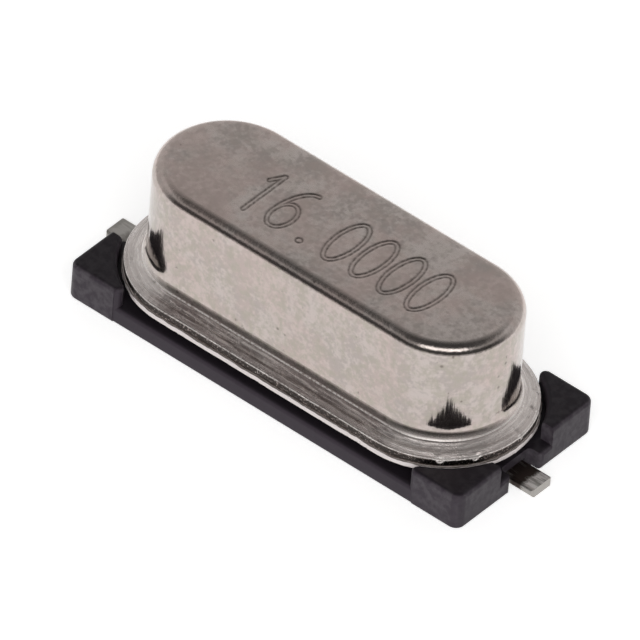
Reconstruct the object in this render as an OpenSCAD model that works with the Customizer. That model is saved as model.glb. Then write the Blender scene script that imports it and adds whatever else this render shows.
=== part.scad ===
// Surface-mount quartz crystal: a welded metal can on a moulded base with two flat leads.
// Millimetres. The seating plane is z = 0, X runs along the leads, and the origin is the
// centre of the underside.

/* [Can] */
// Length of the can over its walls
can_l = 10.0; // [8.3:0.1:12]
// Width of the can over its walls
can_w = 3.58; // [2.98:0.02:4.4]
// Height of the can above the header's flange
can_h = 3.06; // [2.55:0.01:3.8]
// Thickness of the can's sheet
sheet_t = 0.2; // [0.16:0.01:0.24]
// Outer radius of the can's top edge
top_r = 0.33; // [0.27:0.01:0.5]
// Radius of the fillet at the foot of the can's wall
foot_r = 0.1; // [0.08:0.01:0.12]
// Height to which the flange swells beside that fillet, above the sheet's thickness
foot_rise = 0.06; // [0.05:0.01:0.08]
// Width of the swollen foot of the flange
foot_w = 0.25; // [0.2:0.01:0.3]
// Fall of the flange from that foot to its edge, where the weld pressed it
press_fall = 0.04; // [0.03:0.01:0.05]
// Width of the header's flange beyond the can's wall
flange_reach = 0.53; // [0.44:0.01:0.64]
// Setback of the can's flange edge from the header's
weld_setback = 0.025; // [0.015:0.005:0.035]
// Radius of the flanges' edges along the weld seam
seam_r = 0.04; // [0.03:0.005:0.05]

/* [Header] */
// Thickness of the header's flange
header_t = 0.17; // [0.14:0.01:0.21]
// Radius of the lower edge of the header's flange
header_edge_r = 0.08; // [0.06:0.01:0.1]
// Rise of the header's plug above its flange
plug_rise = 0.6; // [0.5:0.01:0.72]
// Thickness of the plug's top
plug_top_t = 0.3; // [0.25:0.01:0.36]
// Gap between the plug and the inside of the can's wall
plug_clear = 0.12; // [0.1:0.01:0.15]
// Radius of the plug's upper edge
plug_r = 0.12; // [0.1:0.01:0.15]
// Diameter of each glass seal
glass_d = 1.2; // [1:0.01:1.44]
// Length of each glass seal
glass_l = 0.5; // [0.42:0.01:0.6]
// Wall of the eyelet round each glass seal
eyelet_wall = 0.12; // [0.1:0.01:0.15]

/* [Leads] */
// Spacing of the two pins, centre to centre
lead_pitch = 4.88; // [4.1:0.01:5.8]
// Diameter of the round pins
pin_d = 0.43; // [0.36:0.01:0.5]
// Height of the pin tops above the header's plug
pin_stand = 0.12; // [0.08:0.01:0.2]
// Width of the flattened leads
lead_w = 0.68; // [0.56:0.01:0.82]
// Thickness of the flattened leads
lead_t = 0.24; // [0.2:0.01:0.3]
// Radius of the flattened leads' long edges
lead_edge_r = 0.08; // [0.06:0.01:0.09]
// Reach of the left lead past the end of the base
left_reach = 0.61; // [0.4:0.01:0.94]
// Reach of the right lead past the end of the base
right_reach = 0.5; // [0.4:0.01:0.94]
// Radius of the corners of each lead's tip
lead_tip_r = 0.08; // [0.06:0.01:0.1]
// Inner radius of the bend in each lead
bend_r = 0.15; // [0.12:0.01:0.18]

/* [Base] */
// Margin of the base beyond each end of the header's flange
end_margin = 0.27; // [0.22:0.01:0.33]
// Margin of the base beyond each side of the header's flange
side_margin = 0.085; // [0.07:0.005:0.105]
// Setback of the plate's long sides from the corner blocks
side_step = 0.02; // [0.015:0.005:0.025]
// Thickness of the base plate
plate_t = 0.48; // [0.4:0.01:0.58]
// Height of the pad that the header rests on, above the plate
seat_h = 0.24; // [0.2:0.01:0.3]
// Inset of that pad from the edge of the header's flange
seat_inset = 0.45; // [0.37:0.01:0.54]
// Height of the corner blocks above the plate
block_rise = 0.52; // [0.43:0.01:0.63]
// Gap between the corner blocks and the header's flange
flange_clear = 0.1; // [0.08:0.01:0.12]
// Radius of each corner block's thin tip
tip_r = 0.15; // [0.125:0.005:0.18]
// Set-back of that rounded end behind the block's faces
tip_step = 0.015; // [0.01:0.005:0.02]
// Width of the gap between the two blocks of one end
end_gap_w = 1.84; // [1.52:0.04:2.24]
// Radius of the base's four upright corners
corner_r = 0.25; // [0.2:0.01:0.3]
// Radius of the base's upper edges
edge_r = 0.12; // [0.1:0.005:0.145]
// Radius of the base's lower edges
foot_edge_r = 0.07; // [0.05:0.01:0.09]
// Clearance beside each lead in its end notch
notch_clear = 0.18; // [0.15:0.01:0.22]
// Depth of each end notch
notch_d = 0.35; // [0.29:0.01:0.42]
// Radius of the end notches' corners
notch_r = 0.12; // [0.1:0.01:0.14]
// Clearance beside each lead in its channel
lead_clear = 0.05; // [0.04:0.01:0.06]
// Clearance round each lead in its hole
hole_clear = 0.1; // [0.08:0.01:0.12]

/* [Resonator] */
// Gap between each end of the quartz blank and the can
blank_end_clear = 0.85; // [0.75:0.01:1]
// Gap between the blank and the can's roof
roof_clear = 0.25; // [0.2:0.01:0.3]
// Gap between the blank and the clips' feet
blank_gap = 0.08; // [0.06:0.01:0.12]
// Thickness of the quartz blank
blank_t = 0.2; // [0.16:0.01:0.24]
// Length of each electrode along the blank
electrode_l = 4.6; // [3.8:0.1:5.5]
// Margin between each electrode and the blank's long edges
electrode_margin = 0.25; // [0.2:0.01:0.3]
// Width of the tab from each electrode to its clip
tab_w = 0.6; // [0.5:0.01:0.7]
// Thickness at which each electrode film is drawn
film_t = 0.02; // [0.016:0.001:0.024]
// Thickness of the mounting clips' strip
clip_t = 0.1; // [0.08:0.01:0.12]
// Width of the mounting clips
clip_w = 1.2; // [1:0.01:1.44]
// Height of each clip's upright above the middle of the blank
clip_rise = 0.5; // [0.42:0.01:0.6]
// Inner radius of the bend in each clip
clip_bend_r = 0.06; // [0.05:0.005:0.07]
// Reach of the blank beyond each clip
blank_reach = 0.2; // [0.16:0.01:0.24]
// Clearance beside the blank in each clip's slot
slot_clear = 0.03; // [0.02:0.005:0.04]
// Radius of each dot of conductive adhesive
dot_r = 0.4; // [0.34:0.01:0.46]

/* [Hidden] */
$fn = 96;

// Overshoot of a cutter past the face that it cuts
past = 0.1;
// Angle by which a block's rounded end reaches into the block
tip_lap = 15;
// Number of sides of the transition from the round pin to its flat part
blend_sides = 32;
// Thickness of the leaves between which that transition is drawn
leaf_t = 0.01;

// Outlines: the header's flange, the can's flange and the base
flange_l = can_l + 2 * flange_reach;
flange_w = can_w + 2 * flange_reach;
can_flange_w = flange_w - 2 * weld_setback;
can_flange_edge_t = sheet_t - press_fall;
base_l = flange_l + 2 * end_margin;
base_w = flange_w + 2 * side_margin;
// Distance of the centre of every round end from the middle
end_x = (can_l - can_w) / 2;
// Inside of the can, and the header's plug that stands in it
inner_l = can_l - 2 * sheet_t;
inner_w = can_w - 2 * sheet_t;
plug_w = inner_w - 2 * plug_clear;

// Heights above the seating plane, from the bottom to the top
block_h = plate_t + block_rise;
seat_z = plate_t + seat_h;
header_z = seat_z + header_t;
plug_z = header_z + plug_rise;
pin_z = plug_z + pin_stand;
clip_z = pin_z + clip_t;
blank_z = clip_z + blank_gap;
roof_z = header_z + can_h - sheet_t;

// The quartz blank, and the clips that hold it
blank_l = inner_l - 2 * blank_end_clear;
blank_h = roof_z - roof_clear - blank_z;
blank_mid_z = blank_z + blank_h / 2;
clip_x = blank_l / 2 - blank_reach;
clip_top_z = blank_mid_z + clip_rise;
slot_w = blank_t + 2 * film_t + 2 * slot_clear;

// Leads: the pin's axis, and the bend's middle radius and centre
pin_x = lead_pitch / 2;
bend_mid_r = bend_r + lead_t / 2;
bend_x = pin_x + bend_mid_r;
bend_z = lead_t + bend_r;
hole_d = max(lead_w, pin_d) + 2 * hole_clear;

// Corner blocks: the pocket for the flange, and the tip that touches both pocket and side
pocket_r = flange_w / 2 + flange_clear;
block_tip_y = base_w / 2 - tip_r;
block_tip_x = end_x + sqrt(pow(pocket_r + tip_r, 2) - pow(block_tip_y, 2));
tip_turn = 90 + atan2(block_tip_y, block_tip_x - end_x);
notch_w = lead_w + 2 * notch_clear;
// Radius of the upper edges, limited by the tips
rim_r = min(edge_r, 0.9 * tip_r);

// Copies what follows to the other end, turned half round
module both_ends() {
  children();
  rotate([0, 0, 180]) children();
}

// An outline with round ends
module oblong(l, w) {
  square([l - w, w], center = true);
  for (side = [-1, 1])
    translate([side * (l - w) / 2, 0]) circle(d = w);
}

// A rectangle from the origin, with its far upper corner rounded
module round_topped(reach, h, r) {
  difference() {
    square([reach, h]);
    translate([reach - r, h - r])
      difference() {
        square(r + past);
        circle(r);
      }
  }
}

// A rectangle from the origin, with its far upper and lower corners rounded
module round_edged(reach, h, upper_r, lower_r) {
  intersection() {
    round_topped(reach, h, upper_r);
    translate([0, h]) mirror([0, 1]) round_topped(reach, h, lower_r);
  }
}

// A half section, swept round an oblong whose end centres are at +-end_x
module oblong_sweep() {
  both_ends()
    translate([end_x, 0, 0]) rotate([0, 0, -90]) rotate_extrude(angle = 180) children();
  rotate([90, 0, 90]) linear_extrude(2 * end_x, center = true) {
    children();
    mirror([1, 0]) children();
  }
}

// A box with rounded upright corners, upper edges and lower edges
module soft_box(l, w, h) {
  for (sx = [0, 1], sy = [0, 1])
    mirror([sx, 0, 0]) mirror([0, sy, 0])
      translate([l / 2 - corner_r, w / 2 - corner_r, 0])
        rotate_extrude(angle = 90) round_edged(corner_r, h, rim_r, foot_edge_r);
  rotate([90, 0, 90]) linear_extrude(l - 2 * corner_r, center = true)
    for (side = [0, 1]) mirror([side, 0]) round_edged(w / 2, h, rim_r, foot_edge_r);
  rotate([90, 0, 0]) linear_extrude(w - 2 * corner_r, center = true)
    for (side = [0, 1]) mirror([side, 0]) round_edged(l / 2, h, rim_r, foot_edge_r);
}

// ---- Base ----

// Plan of the wall that holds one end's two corner blocks, up to the centres of their tips
module block_plan() {
  difference() {
    translate([0, -base_w / 2]) square([base_l / 2, base_w]);
    translate([end_x, 0]) circle(pocket_r);
    translate([end_x, -end_gap_w / 2]) square([base_l / 2, end_gap_w]);
    for (side = [-1, 1])
      polygon([
        [-past, 0], [end_x, 0], [block_tip_x, side * block_tip_y],
        [block_tip_x, side * base_w], [-past, side * base_w]
      ]);
  }
}

// The two corner blocks of one end, with rounded rims. Each tip is a part turn between
// the line to the pocket's centre and the line to the side.
module corner_blocks() {
  difference() {
    intersection() {
      soft_box(base_l, base_w, block_h);
      linear_extrude(block_h + past) block_plan();
    }
    translate([end_x, 0, block_h - rim_r])
      rotate_extrude()
        difference() {
          translate([pocket_r - past, 0]) square([rim_r + past, rim_r + past]);
          translate([pocket_r + rim_r, 0]) circle(rim_r);
        }
  }
  for (side = [0, 1])
    mirror([0, side, 0])
      translate([block_tip_x, block_tip_y, 0]) rotate([0, 0, 90 - tip_lap])
        rotate_extrude(angle = tip_turn + 2 * tip_lap)
          round_edged(tip_r - tip_step, block_h, rim_r, foot_edge_r);
}

// Plan of one end notch, with rounded inner corners and a rounded mouth
module notch_plan() {
  depth = notch_d + past;
  translate([base_l / 2 - notch_d, 0]) {
    translate([notch_r, -notch_w / 2]) square([depth - notch_r, notch_w]);
    translate([0, notch_r - notch_w / 2]) square([depth, notch_w - 2 * notch_r]);
    for (side = [-1, 1])
      translate([notch_r, side * (notch_w / 2 - notch_r)]) circle(notch_r);
  }
  translate([base_l / 2, 0])
    for (side = [0, 1])
      mirror([0, side])
        difference() {
          translate([-notch_r, 0]) square([notch_r + past, notch_w / 2 + notch_r]);
          translate([-notch_r, notch_w / 2 + notch_r]) circle(notch_r);
        }
}

module insulator_base() {
  color([0.16, 0.15, 0.16])
    difference() {
      union() {
        soft_box(base_l, base_w - 2 * side_step, plate_t);
        both_ends() corner_blocks();
        linear_extrude(seat_z) oblong(flange_l - 2 * seat_inset, flange_w - 2 * seat_inset);
      }
      both_ends() {
        translate([0, 0, -past]) linear_extrude(block_h + 2 * past) notch_plan();
        translate([pin_x, 0, -past]) cylinder(h = seat_z + 2 * past, d = hole_d);
        translate([pin_x, -lead_w / 2 - lead_clear, -past])
          cube([base_l, lead_w + 2 * lead_clear, lead_t + past]);
      }
    }
}

// ---- Header and its glass seals ----

// Half section of the stamped header, above its own underside
module header_section() {
  rise = header_t + plug_rise;
  difference() {
    union() {
      round_edged(flange_w / 2, header_t, seam_r, header_edge_r);
      round_topped(plug_w / 2, rise, plug_r);
    }
    translate([0, -past]) square([plug_w / 2 - header_t, rise - plug_top_t + past]);
  }
}

module header() {
  color([0.60, 0.56, 0.54])
    difference() {
      union() {
        translate([0, 0, seat_z]) oblong_sweep() header_section();
        both_ends()
          translate([pin_x, 0, plug_z - glass_l])
            cylinder(h = glass_l - plug_top_t / 2, d = glass_d + 2 * eyelet_wall);
      }
      both_ends()
        translate([pin_x, 0, seat_z]) cylinder(h = plug_z - seat_z + past, d = glass_d);
    }
}

module glass_seal() {
  color([0.32, 0.42, 0.45, 0.6])
    translate([pin_x, 0, plug_z - glass_l])
      difference() {
        cylinder(h = glass_l, d = glass_d);
        translate([0, 0, -past]) cylinder(h = glass_l + 2 * past, d = pin_d);
      }
}

module glass_seal_left() {
  rotate([0, 0, 180]) glass_seal();
}

module glass_seal_right() {
  glass_seal();
}

// ---- Can ----

// Half section of the can's outside: the wall, the flange that falls away from a swollen
// foot, and the fillet between them
module can_outside_section() {
  fillet_x = can_w / 2 + foot_r;
  fillet_z = sheet_t + foot_rise;
  round_topped(can_w / 2, can_h, top_r);
  round_edged(can_flange_w / 2, can_flange_edge_t, seam_r, seam_r);
  polygon([
    [0, 0], [can_flange_w / 2 - seam_r, 0], [can_flange_w / 2 - seam_r, can_flange_edge_t],
    [can_w / 2 + foot_w, sheet_t], [fillet_x, fillet_z], [0, fillet_z]
  ]);
  difference() {
    square([fillet_x, fillet_z + foot_r]);
    translate([fillet_x, fillet_z + foot_r]) circle(foot_r);
  }
}

// Half section of the can's inside, which follows the outside at the sheet's thickness
module can_inside_section() {
  bend = foot_r + sheet_t;
  translate([0, -past]) round_topped(inner_w / 2, can_h - sheet_t + past, top_r - sheet_t);
  difference() {
    translate([0, -past]) square([inner_w / 2 + bend, bend + past]);
    translate([inner_w / 2 + bend, bend]) circle(bend);
  }
}

module can() {
  color([0.72, 0.68, 0.66])
    translate([0, 0, header_z])
      oblong_sweep()
        difference() {
          can_outside_section();
          can_inside_section();
        }
}

// ---- Leads ----

// Section of a flattened lead, with its thickness along X and its width along Y
module lead_section() {
  long = lead_w - 2 * lead_edge_r;
  square([lead_t, long], center = true);
  square([lead_t - 2 * lead_edge_r, lead_w], center = true);
  for (sx = [-1, 1], sy = [-1, 1])
    translate([sx * (lead_t / 2 - lead_edge_r), sy * long / 2]) circle(lead_edge_r);
}

// Plan of a lead's flat part, with rounded corners at its tip
module lead_plan(l) {
  for (side = [0, 1]) mirror([0, side]) round_topped(l, lead_w / 2, lead_tip_r);
}

// A lead that ends at the given reach past the end of the base
module lead(reach) {
  blend_h = lead_w / 2;
  flat_l = base_l / 2 + reach - bend_x;
  color([0.66, 0.65, 0.62]) {
    translate([pin_x, 0, bend_z + blend_h])
      cylinder(h = pin_z - bend_z - blend_h, d = pin_d);
    hull() {
      translate([pin_x, 0, bend_z + blend_h])
        linear_extrude(leaf_t) circle(d = pin_d, $fn = blend_sides);
      translate([pin_x, 0, bend_z])
        linear_extrude(leaf_t) lead_section($fn = blend_sides);
    }
    translate([bend_x, 0, bend_z])
      rotate([90, 0, 0]) rotate([0, 0, 180])
        rotate_extrude(angle = 90) translate([bend_mid_r, 0]) lead_section();
    intersection() {
      translate([bend_x, 0, lead_t / 2])
        rotate([0, 90, 0]) linear_extrude(flat_l) lead_section();
      translate([bend_x, 0, 0]) linear_extrude(lead_t) lead_plan(flat_l);
    }
  }
}

module lead_left() {
  rotate([0, 0, 180]) lead(left_reach);
}

module lead_right() {
  lead(right_reach);
}

// ---- Resonator ----

module quartz_blank() {
  color([0.85, 0.88, 0.90, 0.5])
    translate([-blank_l / 2, -blank_t / 2, blank_z]) cube([blank_l, blank_t, blank_h]);
}

// The front film, with its tab to the right-hand clip
module electrode() {
  color([0.80, 0.80, 0.82])
    translate([0, -blank_t / 2, blank_mid_z]) rotate([90, 0, 0])
      linear_extrude(film_t) {
        square([electrode_l, blank_h - 2 * electrode_margin], center = true);
        translate([0, -tab_w / 2]) square([blank_l / 2, tab_w]);
      }
}

module electrode_front() {
  electrode();
}

module electrode_back() {
  rotate([0, 0, 180]) electrode();
}

// Side outline of a clip: a foot on the pin and an upright at the blank's end
module clip_outline() {
  foot_x = pin_x - pin_d;
  inner_h = clip_top_z - clip_z + past;
  difference() {
    translate([foot_x, clip_top_z]) mirror([0, 1])
      round_topped(clip_x - foot_x, clip_top_z - pin_z, clip_bend_r + clip_t);
    translate([foot_x - past, clip_top_z + past]) mirror([0, 1])
      round_topped(clip_x - clip_t - foot_x + past, inner_h, clip_bend_r);
  }
}

module mounting_clip() {
  color([0.62, 0.60, 0.55])
    difference() {
      rotate([90, 0, 0]) linear_extrude(clip_w, center = true) clip_outline();
      translate([clip_x - clip_t - past, -slot_w / 2, blank_z])
        cube([clip_t + 2 * past, slot_w, blank_h]);
    }
}

module mounting_clip_left() {
  rotate([0, 0, 180]) mounting_clip();
}

module mounting_clip_right() {
  mounting_clip();
}

// A dome on the clip's outer face, round the end of the blank and of the films' tabs
module adhesive_dot() {
  color([0.74, 0.74, 0.72])
    difference() {
      intersection() {
        translate([clip_x, 0, blank_mid_z]) sphere(dot_r);
        translate([clip_x, -dot_r, blank_z]) cube([dot_r, 2 * dot_r, blank_h]);
      }
      quartz_blank();
      electrode_front();
      electrode_back();
    }
}

module adhesive_left() {
  rotate([0, 0, 180]) adhesive_dot();
}

module adhesive_right() {
  adhesive_dot();
}

insulator_base();
header();
can();
glass_seal_left();
glass_seal_right();
lead_left();
lead_right();
mounting_clip_left();
mounting_clip_right();
quartz_blank();
electrode_front();
electrode_back();
adhesive_left();
adhesive_right();
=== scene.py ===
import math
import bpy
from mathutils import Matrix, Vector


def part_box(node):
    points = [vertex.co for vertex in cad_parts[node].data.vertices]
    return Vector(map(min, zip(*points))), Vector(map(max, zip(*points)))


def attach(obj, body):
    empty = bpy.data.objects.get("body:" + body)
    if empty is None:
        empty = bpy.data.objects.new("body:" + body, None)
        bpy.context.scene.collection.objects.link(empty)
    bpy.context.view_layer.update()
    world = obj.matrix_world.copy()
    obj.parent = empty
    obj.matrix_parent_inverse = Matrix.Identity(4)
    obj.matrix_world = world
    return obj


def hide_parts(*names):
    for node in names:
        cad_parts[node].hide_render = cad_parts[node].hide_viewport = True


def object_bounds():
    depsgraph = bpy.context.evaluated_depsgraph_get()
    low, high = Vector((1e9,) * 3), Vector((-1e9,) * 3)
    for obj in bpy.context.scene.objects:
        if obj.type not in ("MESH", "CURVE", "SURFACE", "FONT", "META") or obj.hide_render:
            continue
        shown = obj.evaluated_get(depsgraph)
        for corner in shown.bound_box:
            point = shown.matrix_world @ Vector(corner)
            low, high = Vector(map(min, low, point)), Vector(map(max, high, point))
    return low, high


bl_info = {
    "name": "Crystal Oscillator",
    "version": (1, 0, 0),
    "blender": (4, 5, 0),
    "location": "3D Viewport > Sidebar > Crystal",
    "description": "Finishes a surface-mounted crystal oscillator in its sealed metal can",
    "category": "Object",
}

from functools import reduce

import bmesh
import bpy
import numpy as np
from bpy.props import (
    FloatProperty,
    FloatVectorProperty,
    IntProperty,
    PointerProperty,
    StringProperty,
)
from bpy.types import Operator, Panel, PropertyGroup
from mathutils import Matrix, Vector, noise
from mathutils.geometry import delaunay_2d_cdt

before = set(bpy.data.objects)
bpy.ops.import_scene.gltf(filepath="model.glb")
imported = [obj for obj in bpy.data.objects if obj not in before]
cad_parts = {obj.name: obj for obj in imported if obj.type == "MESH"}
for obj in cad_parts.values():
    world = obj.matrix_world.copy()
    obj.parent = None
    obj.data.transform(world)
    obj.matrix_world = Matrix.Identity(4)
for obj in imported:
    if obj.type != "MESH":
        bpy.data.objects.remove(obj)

MM = 0.001
CAD_BOX = [list(corner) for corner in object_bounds()]
CAN_LOW, CAN_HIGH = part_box("can")
HEADER_LOW, HEADER_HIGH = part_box("header")
_, BASE_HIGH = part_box("insulator_base")
SEAL_LOW, SEAL_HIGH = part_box("glass_seal_right")
# Distance of the centre of each round end from the middle
END_X = CAN_HIGH.x - CAN_HIGH.y


# ---------------- Settings


def number(name, text, value, **more):
    """A setting of one number."""
    return FloatProperty(name=name, description=text, default=value, **more)


def numbers(name, text, values, **more):
    """A setting of several numbers."""
    return FloatVectorProperty(
        name=name, description=text, default=values, size=len(values), **more
    )


def length(name, text, value):
    """A size in millimetres, as a length setting in metres."""
    return number(name, text, value * MM, min=0, precision=5, unit="LENGTH")


def colour(name, text, value):
    """A linear colour setting."""
    return numbers(name, text, value, min=0, max=1, subtype="COLOR")


def factor(name, text, value):
    """A setting from 0 to 1."""
    return number(name, text, value, min=0, max=1, subtype="FACTOR")


def angle_setting(name, text, value):
    """An angle in degrees, as an angle setting in radians."""
    return number(name, text, math.radians(value), subtype="ANGLE")


def spot_setting(name, text, value):
    """A place in millimetres, as a setting in metres."""
    metres = [v * MM for v in value]
    return numbers(name, text, metres, subtype="TRANSLATION", unit="LENGTH")


class CanSettings(PropertyGroup):
    """Sizes and colours of the drawn can."""

    sheet: length("Sheet", "Thickness of the drawn sheet", 0.2)
    flange: length("Flange", "Reach of the flange past the wall", 0.505)
    top_radius: length("Top Radius", "Radius of the drawn top edge", 0.33)
    foot_radius: length("Foot Radius", "Radius of the fillet at the wall's foot", 0.36)
    foot_rise: length("Foot Rise", "Height of the fillet's foot above the flange's edge", 0.07)
    edge_radius: length("Edge Radius", "Radius of the flange's edges", 0.04)
    wall_wave: length("Wall Wave", "Height of the slow waves in the wall", 0.006)
    flange_wave: length("Flange Wave", "Height of the unevenness of the flange", 0.014)
    crease: length("Crease", "Depth of the creases that the press left in the flange", 0.024)
    facet: factor(
        "Facet", "How far the flange leans between creases, as a share of a crease", 0.45
    )
    metal: colour("Metal", "Colour of the satin plating", (0.575, 0.512, 0.485))
    dull: colour("Dull Metal", "Colour of the duller patches", (0.435, 0.385, 0.362))
    blush: colour("Blush", "Colour of the faint pinkish patches", (0.55, 0.44, 0.41))
    tarnish: colour("Tarnish", "Colour of the yellowish blotches", (0.42, 0.385, 0.33))
    stain: colour("Stain", "Colour in pits and scratches", (0.12, 0.095, 0.085))
    # Used also for the painted shade along the wall's foot on the long sides
    darkened: colour("Burnt Metal", "Colour of the flange's scuffs", (0.21, 0.158, 0.15))
    charred: colour(
        "Charred Metal", "Colour of the flange's side beside the weld", (0.05, 0.042, 0.038)
    )
    # Used for the painted sheen over the flange and the painted highlight lines along its edge and
    # the wall's foot
    bright: colour("Bright Metal", "Colour of the flange's painted sheen and highlights", (0.88, 0.83, 0.8))
    top_roughness: factor("Top Roughness", "Roughness of the satin top", 0.27)
    edge_roughness: factor("Edge Roughness", "Roughness of the drawn top edge", 0.17)
    wall_roughness: factor("Wall Roughness", "Roughness of the drawn wall", 0.12)
    flare: factor("Flare", "Lean of the wall where it spreads toward the foot", 0.26)
    bristle: factor("Bristle", "How far the wall's upright draw lines lean in and out", 0.17)
    flange_roughness: factor("Flange Roughness", "Roughness of the pressed flange", 0.3)


class HeaderSettings(PropertyGroup):
    """Sizes and colours of the stamped header."""

    flange: length("Flange Thickness", "Thickness of the header's flange", 0.17)
    plug_inset: length("Plug Inset", "Distance of the plug from the flange's edge", 0.85)
    plug_radius: length("Plug Radius", "Radius of the plug's upper edge", 0.12)
    roof: length("Plug Roof", "Thickness of the plug's top", 0.3)
    upper_radius: length("Upper Radius", "Radius of the flange's upper edge", 0.04)
    lower_radius: length("Lower Radius", "Radius of the flange's lower edge", 0.04)
    eyelet: length("Eyelet Wall", "Wall of the eyelet round each glass seal", 0.12)
    burr: length("Burr", "Depth of the ragged bites along the sheared rim", 0.045)
    metal: colour("Metal", "Colour of the plated stamping", (0.6, 0.54, 0.51))
    torn: colour("Torn Metal", "Colour of the sheared rim", (0.76, 0.7, 0.69))
    darkened: colour("Burnt Metal", "Colour of the metal beside the weld", (0.1, 0.08, 0.07))


class MarkingSettings(PropertyGroup):
    """The plain number engraved in the can's top."""

    text: StringProperty(
        name="Number", description="Digits and dots to engrave", default="16.0000"
    )
    height: length("Height", "Height of a digit", 1.5)
    width: length("Width", "Width of a digit", 0.6)
    pitch: length("Pitch", "Distance from one digit to the next", 0.82)
    stroke: length("Stroke", "Distance between the two lines of a stroke", 0.098)
    depth: length("Depth", "Depth of each line", 0.015)
    offset: spot_setting(
        "Offset", "Place of the number's middle from the can's middle", (0.35, -0.18)
    )


class BaseSettings(PropertyGroup):
    """Colours of the moulded base."""

    plastic: colour("Plastic", "Colour of the moulding", (0.042, 0.034, 0.043))
    # Painted shade: the moulding's upward faces are darkened most, and its end faces a little
    painted_shade: colour("Shaded Plastic", "Colour of the moulding's level faces", (0.003, 0.002, 0.003))
    worn: colour("Worn Plastic", "Colour of rubbed edges", (0.11, 0.1, 0.11))
    dust: colour("Dust", "Colour of dust specks", (0.45, 0.43, 0.4))
    roughness: factor("Roughness", "Roughness of the moulding", 0.36)


class LeadSettings(PropertyGroup):
    """Colours of the tinned leads."""

    tin: colour("Tin", "Colour of the dull tin", (0.42, 0.4, 0.375))
    # Partly real patina, partly painted shade where the lead leaves the base
    patina: colour("Patina", "Brownish film near the base", (0.065, 0.048, 0.042))
    rubbed: colour("Rubbed Tin", "Colour where the tin is rubbed bright", (0.9, 0.86, 0.84))
    roughness: factor("Roughness", "Roughness of the tin", 0.38)


class InnerSettings(PropertyGroup):
    """Colours of the pieces sealed in the can."""

    glass: colour("Seal Glass", "Colour of the fused glass", (0.1, 0.17, 0.19))
    strip: colour("Clip Strip", "Colour of the spring clips", (0.5, 0.48, 0.44))
    quartz: colour("Quartz", "Colour of the lapped plate", (0.86, 0.9, 0.92))
    silver: colour("Silver Film", "Colour of the electrode films", (0.8, 0.8, 0.82))
    glue: colour("Adhesive", "Colour of the silver-filled adhesive", (0.5, 0.5, 0.49))


class StageSettings(PropertyGroup):
    """Camera, floor and light."""

    azimuth: angle_setting("Azimuth", "Direction of the camera round the object", 37.04)
    elevation: angle_setting("Elevation", "Height of the camera above the horizon", 41.465)
    roll: angle_setting("Roll", "Turn of the camera about its own axis", -4.666)
    distance: length("Distance", "Distance of the camera from its aim", 662.76)
    aim: spot_setting("Aim", "Point that the camera looks at", (0.303, -0.869, 2.024))
    lens: number("Lens", "Focal length of the camera", 1649.2, min=1, unit="CAMERA")
    floor: colour("Floor", "Colour of the floor", (0.8, 0.8, 0.8))
    floor_reach: length("Floor Reach", "Reach of the floor each way", 60)
    floor_gap: length("Floor Gap", "Gap that keeps the floor clear of the underside", 0.015)
    lamp: number("Lamp", "Brightness of the lamp beside the camera", 2.0, min=0)
    key: number("Key Light", "Power of the soft light above", 0.55, min=0, unit="POWER")
    seed: IntProperty(name="Seed", description="Seed of the unevenness", default=7, min=0)


def settings(name):
    """The scene's settings of that name."""
    return getattr(bpy.context.scene, "crystal_" + name)


# ---------------- Node helpers


def fresh_tree(block, output):
    """The node tree of a material or world, emptied but for its output."""
    block.use_nodes = True
    block.node_tree.nodes.clear()
    put(block.node_tree, output)
    return block.node_tree


def new_material(name):
    """An empty material and its node tree."""
    material = bpy.data.materials.new(name)
    return material, fresh_tree(material, "OutputMaterial")


def show(tree, shader):
    """Sends the shader to the tree's output."""
    feed(tree.get_output_node("ALL"), Surface=shader)


def wire(source, target):
    """Links a socket, or sets a value or a colour, on the target socket."""
    if isinstance(source, bpy.types.NodeSocket):
        target.id_data.links.new(source, target)
    elif target.type == "RGBA":
        target.default_value = (*source, 1)
    else:
        target.default_value = source


def put(tree, kind, *sources, **values):
    """A node of that kind, with its attributes set and its first inputs wired in order."""
    node = tree.nodes.new("ShaderNode" + kind)
    for key, value in values.items():
        setattr(node, key, value)
    for source, socket in zip(sources, node.inputs):
        if source is not None:
            wire(source, socket)
    return node


def feed(node, **sources):
    """The node, with the inputs of those names wired."""
    for key, source in sources.items():
        wire(source, node.inputs[key.replace("_", " ")])
    return node


def tree_of(*sources):
    """The node tree of the first socket among the sources."""
    return next(s.id_data for s in sources if isinstance(s, bpy.types.NodeSocket))


def math_node(operation, a, b=0.0, clamp=False):
    """The result of one sum, comparison or other operation."""
    return put(tree_of(a, b), "Math", a, b, operation=operation, use_clamp=clamp).outputs[0]


def absolute(value):
    """The value without its sign."""
    return math_node("ABSOLUTE", value)


def inverse(mask):
    """The mask's opposite."""
    return math_node("SUBTRACT", 1.0, mask)


def chained(operation, values):
    """The result of one operation on several values in turn."""
    return reduce(lambda a, b: math_node(operation, a, b), values)


def larger(*values):
    """The largest of several values."""
    return chained("MAXIMUM", values)


def product(*values):
    """The product of several values."""
    return chained("MULTIPLY", values)


def total(*values):
    """The sum of several values."""
    return chained("ADD", values)


def spread(value, low, high, to_low=0.0, to_high=1.0):
    """Maps low..high smoothly to to_low..to_high."""
    sources = (value, low, high, to_low, to_high)
    node = put(tree_of(value), "MapRange", *sources, interpolation_type="SMOOTHSTEP")
    return node.outputs["Result"]


def fade(value, low, high):
    """1 up to low, and smoothly down to 0 at high."""
    return spread(value, low, high, 1.0, 0.0)


def mix(mask, a, b):
    """A value between a and b."""
    return put(tree_of(mask), "Mix", mask, None, a, b, data_type="FLOAT").outputs[0]


def coats(base, *layers):
    """The base colour under layers, each a mask and a colour."""
    for mask, tint in layers:
        sources = (mask, *[None] * 5, base, tint)
        base = put(tree_of(mask), "Mix", *sources, data_type="RGBA").outputs[2]
    return base


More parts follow.
